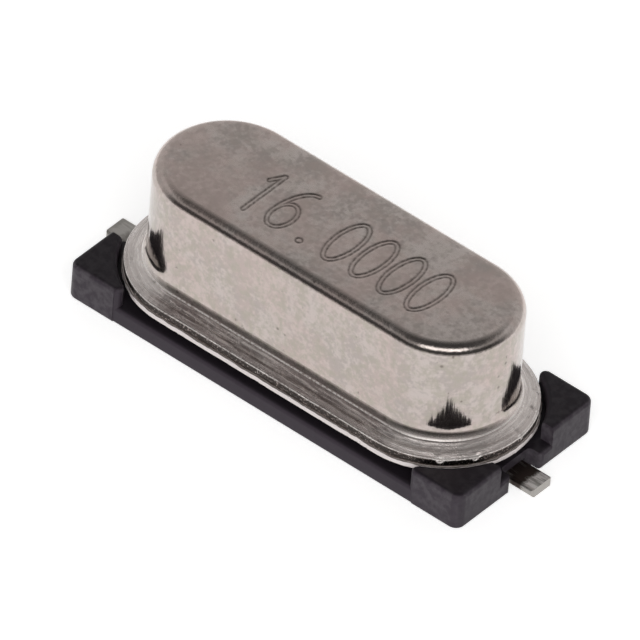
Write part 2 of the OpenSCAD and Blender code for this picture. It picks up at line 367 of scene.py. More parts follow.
def graded(value, stops):
    """A level that follows the value through stops of place and level."""
    node = put(tree_of(value), "ValToRGB", value)
    elements = node.color_ramp.elements
    elements.remove(elements[-1])
    for place, level in stops[1:]:
        elements.new(place).color = (level, level, level, 1)
    elements[0].position = stops[0][0]
    elements[0].color = (stops[0][1],) * 3 + (1,)
    return node.outputs["Color"]


def millimetres(tree, stretch=(1, 1, 1)):
    """The object's own coordinates in millimetres, stretched."""
    here = put(tree, "TexCoord").outputs["Object"]
    scale = [1000 * s for s in stretch]
    return feed(put(tree, "Mapping"), Vector=here, Scale=scale).outputs["Vector"]


def spot(tree):
    """The place on the object along each axis, in millimetres."""
    return put(tree, "SeparateXYZ", millimetres(tree)).outputs


def facing(tree):
    """How far the surface faces along each of the object's axes."""
    return put(tree, "SeparateXYZ", put(tree, "TexCoord").outputs["Normal"]).outputs


def noise_node(tree, vector, scale, detail, rough, distortion=0.0):
    """Noise at that many waves a unit."""
    node = feed(put(tree, "TexNoise"), Vector=vector, Scale=scale, Detail=detail)
    return feed(node, Roughness=rough, Distortion=distortion).outputs["Fac"]


def noise_mm(tree, scale, detail, rough):
    """Noise at that many waves a millimetre of the object."""
    return noise_node(tree, millimetres(tree), scale, detail, rough)


def bumps(normal, *layers):
    """The normal under layers, each a height, a distance in millimetres and a strength."""
    for height, distance, strength in layers:
        node = feed(put(tree_of(height), "Bump", strength, distance * MM), Height=height)
        if normal is not None:
            feed(node, Normal=normal)
        normal = node.outputs["Normal"]
    return normal


def vector_node(operation, *sources):
    """The outputs of one operation on vectors."""
    return put(tree_of(*sources), "VectorMath", *sources, operation=operation).outputs


def leaned(lean):
    """The surface's normal, leaned up or down by a small amount."""
    tree = tree_of(lean)
    upright = put(tree, "CombineXYZ", None, None, lean).outputs[0]
    normal = put(tree, "NewGeometry").outputs["Normal"]
    return vector_node("NORMALIZE", vector_node("ADD", normal, upright)[0])[0]


def principled(material, base, metallic, roughness, normal, **more):
    """The material, with its one shader."""
    node = put(material.node_tree, "BsdfPrincipled", base, metallic, roughness)
    feed(node, Normal=normal, **more)
    show(material.node_tree, node.outputs["BSDF"])
    return material


# ---------------- Shared effects


def new_group(name, label, **inputs):
    """An empty group of values, with its inputs, and the socket of its one output."""
    tree = bpy.data.node_groups.new(name, "ShaderNodeTree")
    kind = "NodeSocketFloat"
    for key, value in inputs.items():
        key = key.replace("_", " ")
        socket = tree.interface.new_socket(key, in_out="INPUT", socket_type=kind)
        socket.default_value = value
    tree.interface.new_socket(label, in_out="OUTPUT", socket_type=kind)
    given = tree.nodes.new("NodeGroupInput").outputs
    return tree, given, tree.nodes.new("NodeGroupOutput").inputs[0]


def mottle_group():
    """Cloudy patches at two scales, as a mask."""
    tree, given, result = new_group(
        "Mottle", "Mask", Coarse_Scale=1.0, Fine_Scale=8.0, Fine_Share=0.4, Contrast=0.2
    )
    here = millimetres(tree)
    coarse = noise_node(tree, here, given["Coarse Scale"], 4, 0.55, 0.4)
    fine = noise_node(tree, here, given["Fine Scale"], 5, 0.6)
    low = math_node("SUBTRACT", 0.5, given["Contrast"])
    high = total(0.5, given["Contrast"])
    mixed = mix(given["Fine Share"], coarse, fine)
    wire(spread(mixed, low, high), result)


def draw_line_group():
    """Fine upright lines, as a drawing die leaves them on a wall, as a height."""
    tree, given, result = new_group("Draw Lines", "Height", Density=18.0, Run=0.4)
    density = given["Density"]
    scale = put(tree, "CombineXYZ", density, density, given["Run"]).outputs[0]
    here = vector_node("MULTIPLY", millimetres(tree), scale)[0]
    wire(noise_node(tree, here, 1.0, 3, 0.6), result)


def round_streak_group():
    """Fine lines that follow the oblong outline, as a press leaves them, as a height."""
    tree, given, result = new_group("Round Streaks", "Height", Density=20.0, Run=0.6)
    density = given["Density"]
    x, y, z = spot(tree)
    spine = larger(math_node("MINIMUM", x, END_X / MM), -END_X / MM)
    past_end = absolute(math_node("SUBTRACT", x, spine))
    flat = put(tree, "CombineXYZ", past_end, y).outputs[0]
    reach = vector_node("LENGTH", flat)["Value"]
    turn = math_node("ARCTAN2", past_end, y)
    along = total(spine, product(turn, 2.2))
    here = put(
        tree,
        "CombineXYZ",
        product(reach, density),
        product(along, given["Run"]),
        product(z, density),
    ).outputs[0]
    wire(noise_node(tree, here, 1.0, 4, 0.6, 0.3), result)


def speck_group():
    """Small scattered specks, as a mask."""
    tree, given, result = new_group("Specks", "Mask", Density=2.0, Size=0.1, Share=0.4)
    cells = put(tree, "TexVoronoi")
    feed(cells, Vector=millimetres(tree), Scale=given["Density"])
    some = put(tree, "SeparateColor", cells.outputs["Color"]).outputs
    kept = math_node("LESS_THAN", some[0], given["Share"])
    small = product(given["Size"], some[1])
    speck = fade(cells.outputs["Distance"], product(small, 0.4), small)
    wire(product(speck, kept), result)


def edge_wear_group():
    """Rubbed convex edges, broken up by noise, as a mask."""
    tree, given, result = new_group("Edge Wear", "Mask", Amount=0.5, Breakup=4.0)
    ridge = spread(put(tree, "NewGeometry").outputs["Pointiness"], 0.505, 0.56)
    broken = spread(noise_mm(tree, given["Breakup"], 5, 0.6), 0.35, 0.65)
    wire(product(ridge, broken, given["Amount"]), result)


EFFECTS = {
    "Mottle": mottle_group,
    "Draw Lines": draw_line_group,
    "Round Streaks": round_streak_group,
    "Specks": speck_group,
    "Edge Wear": edge_wear_group,
}


def effect(tree, name, **sources):
    """The value of a shared effect, whose group is built the first time it is asked for."""
    if name not in bpy.data.node_groups:
        EFFECTS[name]()
    node = put(tree, "Group", node_tree=bpy.data.node_groups[name])
    return feed(node, **sources).outputs[0]


def mottle(tree, coarse, fine, share, contrast):
    """Cloudy patches from the Mottle effect: two scales, the share of the fine one, contrast."""
    shares = {"Fine_Share": share, "Contrast": contrast}
    return effect(tree, "Mottle", Coarse_Scale=coarse, Fine_Scale=fine, **shares)


# ---------------- Mesh helpers


def oblong_stations(side_steps, end_steps):
    """Centre and outward direction of each station round the oblong, from its lower side on."""
    stations = []
    for turn in (0, 1):
        sign = -1 if turn else 1
        for i in range(side_steps):
            x = sign * (-END_X + 2 * END_X * i / side_steps)
            stations.append((Vector((x, 0)), Vector((0, -sign))))
        for i in range(end_steps):
            angle = -math.pi / 2 + math.pi * i / end_steps + turn * math.pi
            stations.append(
                (Vector((sign * END_X, 0)), Vector((math.cos(angle), math.sin(angle))))
            )
    return stations


def arc(centre, radius, start, stop, steps):
    """Points of an arc in a section, from one angle to the other, in degrees."""
    angles = [math.radians(start + (stop - start) * i / steps) for i in range(steps + 1)]
    x, z = centre
    return [(x + radius * math.cos(a), z + radius * math.sin(a)) for a in angles]


def line(start, stop, steps):
    """Points of a line in a section, without its ends."""
    (x, z), across, up = start, stop[0] - start[0], stop[1] - start[1]
    return [(x + across * i / steps, z + up * i / steps) for i in range(1, steps)]


def bridge(mesh, rings):
    """Faces between each ring of vertices and the next."""
    for low, high in zip(rings, rings[1:]):
        for i in range(len(low)):
            j = (i + 1) % len(low)
            mesh.faces.new((low[i], low[j], high[j], high[i]))


def sweep(mesh, stations, section, shift):
    """Sweeps an open section round the stations and returns its rings of vertices."""
    rings = [[] for _ in section]
    for centre, outward in stations:
        for k, (reach, height) in enumerate(section):
            flat = centre + outward * reach
            point = Vector((flat.x, flat.y, height))
            rings[k].append(mesh.verts.new(point + shift(point, outward, k, reach, height)))
    bridge(mesh, rings)
    return rings


def fill_flat(mesh, outer, holes, upward):
    """Fills the flat area between an outer loop and the loops of its holes."""
    loops = [outer] + holes
    vertices = [v for loop in loops for v in loop]
    edges, start = [], 0
    for loop in loops:
        count = len(loop)
        edges += [(start + i, start + (i + 1) % count) for i in range(count)]
        start += count
    points = [Vector((v.co.x * 1000, v.co.y * 1000)) for v in vertices]
    _, _, faces, originals, _, _ = delaunay_2d_cdt(points, edges, [], 1, 1e-7)
    hole_plans = [[(v.co.x * 1000, v.co.y * 1000) for v in loop] for loop in holes]
    for face in faces:
        corners = [originals[i][0] for i in face]
        middle = sum((points[c] for c in corners), Vector((0, 0))) / len(corners)
        if any(inside(middle, plan) for plan in hole_plans):
            continue
        a, b, c = (points[i] for i in corners[:3])
        if ((b - a).cross(c - a) > 0) != upward:
            corners.reverse()
        mesh.faces.new([vertices[i] for i in corners])


def inside(point, plan):
    """True if the point lies inside the plan's outline."""
    crossed = False
    x, y = point
    previous = plan[-1]
    for current in plan:
        if (current[1] > y) != (previous[1] > y):
            slope = (previous[0] - current[0]) * (y - current[1]) / (previous[1] - current[1])
            if x < slope + current[0]:
                crossed = not crossed
        previous = current
    return crossed


def add_object(name, data):
    """A new object in the scene."""
    made = bpy.data.objects.new(name, data)
    bpy.context.scene.collection.objects.link(made)
    return made


def finish_mesh(mesh, name, material, stands_for):
    """Turns a bmesh into a smooth piece that rides on the root and replaces a node."""
    bmesh.ops.recalc_face_normals(mesh, faces=mesh.faces)
    data = bpy.data.meshes.new(name)
    mesh.to_mesh(data)
    mesh.free()
    data.polygons.foreach_set("use_smooth", [True] * len(data.polygons))
    piece = add_object(name, data)
    data.materials.append(material)
    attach(piece, "root")
    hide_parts(stands_for)
    return piece


def wander(point, scale, seed=0.0):
    """Smooth noise from -1 to 1 at a point in metres, at that many waves a millimetre."""
    return noise.noise(point * (1000 * scale) + Vector((seed, seed * 1.7, -seed)))


# ---------------- Number in the top

# Strokes of each digit in a box from 0 to 1: points, and ovals as centre, radii and angles
DIGITS = {
    "0": [[("oval", 0.5, 0.5, 0.5, 0.5, 0, 360)]],
    "1": [[(0.22, 0.78), (0.55, 1.0), (0.55, 0.0)]],
    "2": [[("oval", 0.5, 0.72, 0.46, 0.28, 165, -20), (0.02, 0.0), (1.0, 0.0)]],
    "3": [
        [("oval", 0.47, 0.76, 0.45, 0.24, 150, -90), ("oval", 0.47, 0.26, 0.5, 0.26, 90, -150)]
    ],
    "4": [[(0.72, 0.0), (0.72, 1.0), (0.0, 0.32), (1.0, 0.32)]],
    "5": [[(0.92, 1.0), (0.14, 1.0), (0.08, 0.55), ("oval", 0.46, 0.32, 0.5, 0.32, 135, -150)]],
    "6": [[("oval", 0.5, 0.3, 0.48, 0.3, 0, 360)], [("oval", 0.86, 0.3, 0.84, 0.7, 90, 180)]],
    "7": [[(0.0, 1.0), (1.0, 1.0), (0.36, 0.0)]],
    "8": [[("oval", 0.5, 0.76, 0.4, 0.24, 0, 360)], [("oval", 0.5, 0.27, 0.5, 0.27, 0, 360)]],
    "9": [[("oval", 0.5, 0.7, 0.48, 0.3, 0, 360)], [("oval", 0.14, 0.7, 0.84, 0.7, 0, -90)]],
    ".": [[("oval", 0.5, 0.04, 0.05, 0.02, 0, 360)]],
}
OVAL_STEPS = 24
# Side of the engraving's grid cells, and breadth of a groove and of the crest between two
GRID_STEP, GROOVE_BREADTH, CREST_BREADTH = 0.022 * MM, 0.025 * MM, 0.02 * MM


def number_strokes():
    """Straight pieces of the number's strokes, as start and end points in metres."""
    marking = settings("marking")
    pieces = []
    middle = (len(marking.text) - 1) / 2
    for place, character in enumerate(marking.text):
        left = marking.offset[0] + (place - middle) * marking.pitch - marking.width / 2
        low = marking.offset[1] - marking.height / 2
        for stroke in DIGITS.get(character, []):
            points = []
            for item in stroke:
                if item[0] == "oval":
                    _, cx, cy, rx, ry, start, stop = item
                    for i in range(OVAL_STEPS + 1):
                        angle = math.radians(start + (stop - start) * i / OVAL_STEPS)
                        points.append((cx + rx * math.cos(angle), cy + ry * math.sin(angle)))
                else:
                    points.append(item)
            placed = [(left + u * marking.width, low + v * marking.height) for u, v in points]
            pieces += [(*a, *b) for a, b in zip(placed, placed[1:])]
    return np.array(pieces)


def distance_to_strokes(x, y, strokes):
    """Distance of each point from the nearest stroke."""
    nearest = np.full(x.shape, 1.0)
    for ax, ay, bx, by in strokes:
        dx, dy = bx - ax, by - ay
        span = max(dx * dx + dy * dy, 1e-18)
        along = np.clip(((x - ax) * dx + (y - ay) * dy) / span, 0, 1)
        nearest = np.minimum(nearest, np.hypot(x - ax - along * dx, y - ay - along * dy))
    return nearest


def engraved_top(mesh, rim, top_z, mark_layer):
    """Fills the can's flat top and engraves the number in a fine grid in its middle."""
    marking = settings("marking")
    seed = settings("stage").seed
    half_x = (len(marking.text) * marking.pitch) / 2 + 0.1 * MM
    half_y = marking.height / 2 + 0.12 * MM
    nx, ny = round(2 * half_x / GRID_STEP), round(2 * half_y / GRID_STEP)
    xs = marking.offset[0] + np.linspace(-half_x, half_x, nx + 1)
    ys = marking.offset[1] + np.linspace(-half_y, half_y, ny + 1)
    gx, gy = np.meshgrid(xs, ys, indexing="ij")
    away = distance_to_strokes(gx, gy, number_strokes())
    half = marking.stroke / 2
    grid = []
    for i in range(nx + 1):
        column = []
        for j in range(ny + 1):
            point = Vector((gx[i, j], gy[i, j], top_z))
            off = away[i, j] + 0.006 * MM * wander(point, 9, seed)
            groove = math.exp(-(((off - half) / GROOVE_BREADTH) ** 2))
            crest = math.exp(-((off / CREST_BREADTH) ** 2))
            uneven = 0.8 + 0.35 * wander(point, 14, seed + 3)
            border = 0 if i in (0, nx) or j in (0, ny) else 1
            point.z -= border * marking.depth * (groove * uneven + 0.25 * crest)
            vertex = mesh.verts.new(point)
            vertex[mark_layer] = border * min(1.0, groove * uneven)
            column.append(vertex)
        grid.append(column)
    for i in range(nx):
        for j in range(ny):
            mesh.faces.new((grid[i][j], grid[i + 1][j], grid[i + 1][j + 1], grid[i][j + 1]))
    edge = [grid[i][0] for i in range(nx)]
    edge += [grid[nx][j] for j in range(ny)]
    edge += [grid[i][ny] for i in range(nx, 0, -1)]
    edge += [grid[0][j] for j in range(ny, 0, -1)]
    fill_flat(mesh, rim, [edge], True)


# ---------------- Materials


def scaled(tint, share):
    """A colour made darker or lighter."""
    return tuple(share * c for c in tint)


# Heights above the flange's underside, in millimetres, over which each zone of the can ends
SEAM_TOP, RIM_TOP, OUTER_TOP = (0.15, 0.2), (0.19, 0.21), (0.235, 0.27)
FLANGE_TOP, FILLET_TOP = (0.35, 0.39), (0.6, 0.7)


def can_material():
    """Plated sheet: satin on top, finely lined on the wall and scuffed along the flange."""
    can = settings("can")
    material, tree = new_material("can_satin")
    cloud = mottle(tree, coarse=1.1, fine=8.0, share=0.55, contrast=0.1)
    patch = mottle(tree, coarse=0.6, fine=3.2, share=0.3, contrast=0.1)
    pits = effect(tree, "Specks", Density=2.2, Size=0.11, Share=0.3)
    flecks = effect(tree, "Specks", Density=5.0, Size=0.36, Share=0.35)
    lines = effect(tree, "Draw Lines", Density=16.0, Run=0.9)
    streaks = effect(tree, "Round Streaks", Density=16.0, Run=1.1)
    fine = noise_mm(tree, 3.4, 6, 0.7)
    grit = noise_mm(tree, 20.0, 4, 0.65)
    broad = noise_mm(tree, 1.6, 4, 0.6)
    peel = noise_mm(tree, 7.0, 5, 0.6)
    mark = put(tree, "Attribute", attribute_name="engraved").outputs["Fac"]

    # Zones, by the way the surface faces and by its height above the flange's underside
    up = facing(tree)[2]
    x, _, z = spot(tree)
    level = math_node("SUBTRACT", z, CAN_LOW.z / MM)
    level_top = spread(up, 0.9, 0.995)
    steep = fade(absolute(up), 0.25, 0.7)
    flat = inverse(steep)
    low = fade(level, *FLANGE_TOP)
    fillet = product(flat, fade(level, *FILLET_TOP), inverse(low))
    flange = product(low, flat)
    wall = inverse(larger(low, flat))
    seam = product(fade(level, *SEAM_TOP), steep)
    rounded = spread(absolute(x), END_X / MM - 0.3, END_X / MM + 0.6)
    # Painted highlights: a thin line along the flange's rounded outer edge (ridge), and a thin
    # line low on the wall's foot (glint)
    ridge = product(low, spread(up, 0.3, 0.5), fade(up, 0.87, 0.94), fade(level, *RIM_TOP))
    glint = product(spread(level, 0.375, 0.39), fade(level, 0.405, 0.42))
    ridge = larger(ridge, product(glint, 0.9))

    # Wear, and the painted sheen, highlights and shade
    clouded = mix(wall, cloud, spread(cloud, 0.0, 1.0, 0.25, 1.0))
    tarnish = product(spread(fine, 0.44, 0.62), mix(wall, 0.2, 0.75), mix(low, 1.0, 0.0))
    scuff = spread(streaks, 0.38, 0.62)
    outer = product(fade(level, *OUTER_TOP), mix(rounded, 0.55, 0.4))
    streaked = product(scuff, mix(rounded, 0.8, 0.35))
    scraped = product(flange, spread(broad, 0.45, 0.6))
    flecks = product(flecks, spread(fine, 0.47, 0.54), mix(level_top, 0.55, 0.12))
    flecks = mix(flange, flecks, 0.0)
    base = coats(
        can.metal,
        (clouded, can.dull),
        (product(patch, mix(wall, 0.7, 0.45)), can.blush),
        (tarnish, can.tarnish),
        # Painted sheen over the flange, stronger at the round ends
        (product(flange, mix(rounded, 0.4, 0.75)), can.bright),
        # The wall's foot: painted shade along the long sides, and a painted highlight at the round
        # ends
        (product(fillet, mix(rounded, 0.5, 0.0)), can.darkened),
        (product(fillet, mix(rounded, 0.0, 0.5)), can.bright),
        (product(flange, larger(outer, streaked)), can.darkened),
        (product(seam, spread(grit, 0.66, 0.56)), can.charred),
        # The painted highlight lines along the flange's edge and the wall's foot
        (product(ridge, spread(grit, 0.4, 0.5)), can.bright),
        (larger(product(pits, 0.6), mark, flecks), can.stain),
    )
    rough = mix(flat, can.wall_roughness, can.edge_roughness)
    for mask, there in (
        (level_top, total(can.top_roughness, product(cloud, 0.1))),
        (fillet, can.flange_roughness),
        (flange, total(can.flange_roughness, product(scuff, -0.14))),
        (seam, 0.42),
    ):
        rough = mix(mask, rough, there)
    # Where the sheen and highlights are painted, the metal is also made less metallic
    rubbed = larger(ridge, product(flange, mix(rounded, 0.45, 0.7)))
    rubbed = larger(rubbed, product(fillet, mix(rounded, 0.4, 0.6)))

    # Lean of the wall, and the fine relief
    flare = product(fade(level, 0.55, mix(rounded, 1.1, 0.8)), spread(level, 0.42, 0.6, 0.2, 1.0))
    bristle = product(
        total(lines, -0.5), spread(level, 0.5, 0.8, 0.1, 1.0), can.bristle, mix(rounded, 0.5, 1.0)
    )
    lean = total(bristle, product(flare, can.flare))
    edge = math_node("SUBTRACT", flat, level_top, clamp=True)
    normal = bumps(
        leaned(product(lean, wall)),
        (product(streaks, low), 0.02, 0.7),
        (product(grit, scraped), 0.022, 0.8),
        (product(grit, seam), 0.03, 0.8),
        (product(peel, total(1.0, product(edge, 4.0))), 0.0028, 0.5),
    )
    return principled(material, base, mix(rubbed, 1.0, 0.5), rough, normal)


def header_material():
    """Plated stamping with a torn bright rim and a burnt line beside the weld."""
    header = settings("header")
    material, tree = new_material("header_weld")
    cloud = mottle(tree, coarse=2.2, fine=16.0, share=0.5, contrast=0.1)
    grit = noise_mm(tree, 14.0, 5, 0.65)
    wavy = noise_mm(tree, 2.2, 2, 0.5)
    depth = math_node("SUBTRACT", CAN_LOW.z / MM, spot(tree)[2])
    ragged = total(depth, product(grit, 0.02), product(wavy, 0.07))
    side = fade(absolute(facing(tree)[2]), 0.75, 0.95)
    thick = header.flange / MM
    on_rim = product(side, fade(depth, thick, thick + 0.01))
    base = coats(
        header.metal,
        (product(cloud, 0.35), header.darkened),
        (product(on_rim, 0.9), header.torn),
        (product(fade(ragged, 0.06, 0.08), on_rim), header.darkened),
    )
    relief = product(grit, mix(on_rim, 1.0, 0.5))
    normal = bumps(None, (relief, 0.02, 0.6))
    rough = spread(grit, 0.3, 0.7, 0.3, 0.5)
    return principled(material, base, mix(on_rim, 1.0, 0.3), rough, normal)


def plastic_material():
    """Satin black moulding with a fine grain, rubbed edges and a few specks of dust."""
    moulding = settings("base")
    material, tree = new_material("base_moulding")
    cloud = mottle(tree, coarse=1.1, fine=14.0, share=0.5, contrast=0.15)
    wear = effect(tree, "Edge Wear", Amount=0.5, Breakup=5.0)
    dust = effect(tree, "Specks", Density=2.2, Size=0.08, Share=0.1)
    x, _, z = facing(tree)
    # Painted shade: upward faces are darkened most and end faces a little, where less light falls
    # on them
    painted_shade = larger(spread(z, 0.6, 0.95, 0.0, 0.65), spread(absolute(x), 0.6, 0.95, 0.0, 0.2))
    base = coats(
        moulding.plastic,
        (cloud, scaled(moulding.plastic, 1.12)),
        (wear, moulding.worn),
        (painted_shade, moulding.painted_shade),
        (product(dust, 0.6), moulding.dust),
    )
    rough = total(moulding.roughness, product(cloud, 0.06))
    grain = noise_mm(tree, 26.0, 4, 0.6)
    slow = noise_mm(tree, 3.0, 3, 0.5)
    normal = bumps(None, (grain, 0.002, 0.5), (slow, 0.004, 0.5))
    return principled(material, base, 0.0, rough, normal, Specular_IOR_Level=0.12)


def lead_material():
    """Dull tin, streaked along the lead, with patina and painted shade near the base, rubbed near
    the tips.
    """
    lead = settings("lead")
    material, tree = new_material("lead_tin_dull")
    streak = noise_node(tree, millimetres(tree, (1.2, 12, 12)), 1.0, 5, 0.65)
    cloud = mottle(tree, coarse=2.5, fine=14.0, share=0.4, contrast=0.16)
    x = spot(tree)[0]
    out = math_node("SUBTRACT", absolute(x), BASE_HIGH.x / MM)
    top = spread(facing(tree)[2], 0.6, 0.95)
    on_right = math_node("GREATER_THAN", x, 0.0)
    edge = total(out, product(cloud, 0.12))
    # Near the base the lead is darkened: brown patina on top, and painted shade where it leaves
    # the base (root, right lead only)
    film = product(
        fade(edge, 0.18, 0.32), top, mix(on_right, 0.35, 1.0), spread(streak, 0.25, 0.5)
    )
    root = product(fade(edge, 0.16, 0.26), spread(out, -0.3, -0.1), on_right)
    shine = product(
        spread(edge, 0.2, 0.3),
        spread(edge, 0.62, 0.52),
        top,
        mix(on_right, 0.25, 1.0),
        spread(streak, 0.35, 0.55),
    )
    base = coats(lead.tin, (shine, lead.rubbed), (larger(film, root), lead.patina))
    rough = total(lead.roughness, product(streak, 0.15), product(shine, -0.12))
    return principled(material, base, 1.0, rough, bumps(None, (streak, 0.02, 0.6)))


def glass_material():
    """Dark fused glass with small bubbles."""
    material, tree = new_material("seal_glass_fused")
    cloud = mottle(tree, coarse=3.0, fine=20.0, share=0.3, contrast=0.2)
    bubbles = effect(tree, "Specks", Density=6.0, Size=0.2, Share=0.5)
    tint = settings("inner").glass
    base = coats(tint, (cloud, scaled(tint, 0.6)))
    normal = bumps(None, (bubbles, -0.01, 0.6))
    return principled(material, base, 0.0, 0.08, normal, Transmission_Weight=0.5, IOR=1.52)


def strip_material():
    """Cold-rolled spring strip, with lines along the roll."""
    material, tree = new_material("clip_strip")
    rolled = noise_node(tree, millimetres(tree, (1.5, 22, 1.5)), 1.0, 4, 0.6)
    tint = settings("inner").strip
    base = coats(tint, (rolled, scaled(tint, 0.75)))
    rough = spread(rolled, 0.3, 0.7, 0.24, 0.36)
    return principled(material, base, 1.0, rough, bumps(None, (rolled, 0.003, 0.5)))


def quartz_material():
    """Clear lapped quartz, faintly frosted."""
    material, tree = new_material("quartz_lapped")
    frost = noise_mm(tree, 30.0, 4, 0.6)
    tint = settings("inner").quartz
    base = coats(tint, (frost, scaled(tint, 0.92)))
    rough = spread(frost, 0.3, 0.7, 0.12, 0.3)
    normal = bumps(None, (frost, 0.002, 0.4))
    return principled(material, base, 0.0, rough, normal, Transmission_Weight=0.85, IOR=1.54)


def film_material():
    """Evaporated silver film, slightly tarnished."""
    material, tree = new_material("electrode_silver")
    cloud = mottle(tree, coarse=1.4, fine=12.0, share=0.3, contrast=0.2)
    base = coats(settings("inner").silver, (cloud, (0.7, 0.66, 0.58)))
    rough = spread(cloud, 0, 1, 0.14, 0.26)
    return principled(material, base, 1.0, rough, bumps(None, (cloud, 0.001, 0.4)))


def glue_material():
    """Silver-filled adhesive with a flaky surface."""
    material, tree = new_material("adhesive_silver")
    flakes = effect(tree, "Specks", Density=16.0, Size=0.6, Share=0.6)
    base = coats(settings("inner").glue, (flakes, (0.78, 0.78, 0.77)))
    rough = spread(flakes, 0, 1, 0.6, 0.4)
    return principled(material, base, 0.35, rough, bumps(None, (flakes, 0.006, 0.6)))


def finish_nodes(names, material):
    """Gives CAD nodes a material on every slot."""
    for name in names:
        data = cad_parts[name]
        if not data.material_slots:
            raise RuntimeError(name + " has no material slot")
        for slot in data.material_slots:
            slot.material = material


# ---------------- Pieces


# Creases that the press left across the flange's right end: direction and breadth in degrees,
# and how far each runs in from the flange's edge, in millimetres
CREASES = [(44, 1.3, 0.36), (27, 1.3, 0.4), (3, 1.3, 0.3), (-29, 3.0, 0.2), (-51, 2.5, 0.24)]
RING_STEPS = 64


def crease_depth(point, outward, reach):
    """Depth of the creases, and of the facets that lean between them, at a point of the flange."""
    if point.x < END_X:
        return 0.0
    can = settings("can")
    angle = math.degrees(math.atan2(outward.y, outward.x))
    lean = reach / can.flange
    depth = 0.0
    for direction, breadth, run in CREASES:
        inward = min(1.0, max(0.0, (reach - can.flange + run * MM) / (0.05 * MM)))
        away = (angle - direction) / breadth
        depth += inward * math.exp(-away * away) + can.facet * lean * math.tanh(0.6 * away)
        lean = -lean
    return depth


def can_piece():
    """The can's shell, with waves in its wall, a pressed flange and an engraved top."""
    can = settings("can")
    seed = settings("stage").seed
    z0, z1 = CAN_LOW.z, CAN_HIGH.z
    edge = CAN_HIGH.y
    wall = edge - can.flange
    inner = wall - can.sheet
    foot, soft, top_r = can.foot_radius, can.edge_radius, can.top_radius
    bend = foot + can.sheet
    roof_r = top_r - can.sheet
    foot_top = z0 + can.sheet + can.foot_rise
    inner_side = (
        arc((inner - roof_r, z1 - can.sheet - roof_r), roof_r, 90, 0, 5)
        + line((inner, z1 - can.sheet - roof_r), (inner, z0 + bend), 5)
        + arc((inner + bend, z0 + bend), bend, 180, 270, 6)
        + line((inner + bend, z0), (edge - soft, z0), 3)
    )
    outer_side = (
        arc((edge - soft, z0 + soft), soft, -90, 0, 4)
        + arc((edge - soft, z0 + can.sheet - soft), soft, 0, 90, 4)
        + line((edge - soft, z0 + can.sheet), (wall + foot, foot_top), 6)
        + arc((wall + foot, foot_top + foot), foot, 270, 180, 14)
        + line((wall, foot_top + foot), (wall, z1 - top_r), 16)
        + arc((wall - top_r, z1 - top_r), top_r, 0, 90, 12)
    )
    stations = oblong_stations(side_steps=170, end_steps=200)

    def shift(point, outward, k, reach, height):
        if k < len(inner_side):
            return Vector()
        side = Vector((outward.x, outward.y, 0))
        if reach > wall + foot / 2:
            across = min(1.0, (reach - wall - foot / 2) / (0.15 * MM))
            rise = 0.6 * wander(point, 2.2, seed) + 0.4 * wander(point, 6, seed + 5)
            press = -max(0.0, wander(point, 1.1, seed + 9)) * 0.8
            press -= crease_depth(point, outward, reach - wall) * can.crease / can.flange_wave
            top = 1.0 if height > z0 + can.sheet - soft else 0.3
            move = Vector((0, 0, can.flange_wave * (0.5 * rise + press - 0.2) * across * top))
            if reach > edge - 2 * soft:
                move += side * (-0.5 * can.flange_wave * (1 + wander(point, 1.6, seed + 2)))
            return move
        if height < z1 - 0.02 * MM:
            share = min(1.0, (height - z0 - can.sheet) / (0.5 * MM))
            share *= min(1.0, (z1 - height) / (0.25 * MM))
            wave = wander(Vector((point.x, point.y, point.z * 0.4)), 0.55, seed + 1)
            return side * (can.wall_wave * (wave - 1) * max(0.0, share) * 0.5)
        return Vector()

    mesh = bmesh.new()
    mark_layer = mesh.verts.layers.float.new("engraved")
    rings = sweep(mesh, stations, inner_side + outer_side, shift)
    fill_flat(mesh, rings[0], [], False)
    engraved_top(mesh, rings[-1], z1, mark_layer)
    return finish_mesh(mesh, "can_shell", can_material(), "can")


def circle_ring(mesh, x, radius, z):
    """A ring of vertices round a pin's axis."""
    angles = [2 * math.pi * i / RING_STEPS for i in range(RING_STEPS)]
    return [
        mesh.verts.new((x + radius * math.cos(a), radius * math.sin(a), z)) for a in angles
    ]


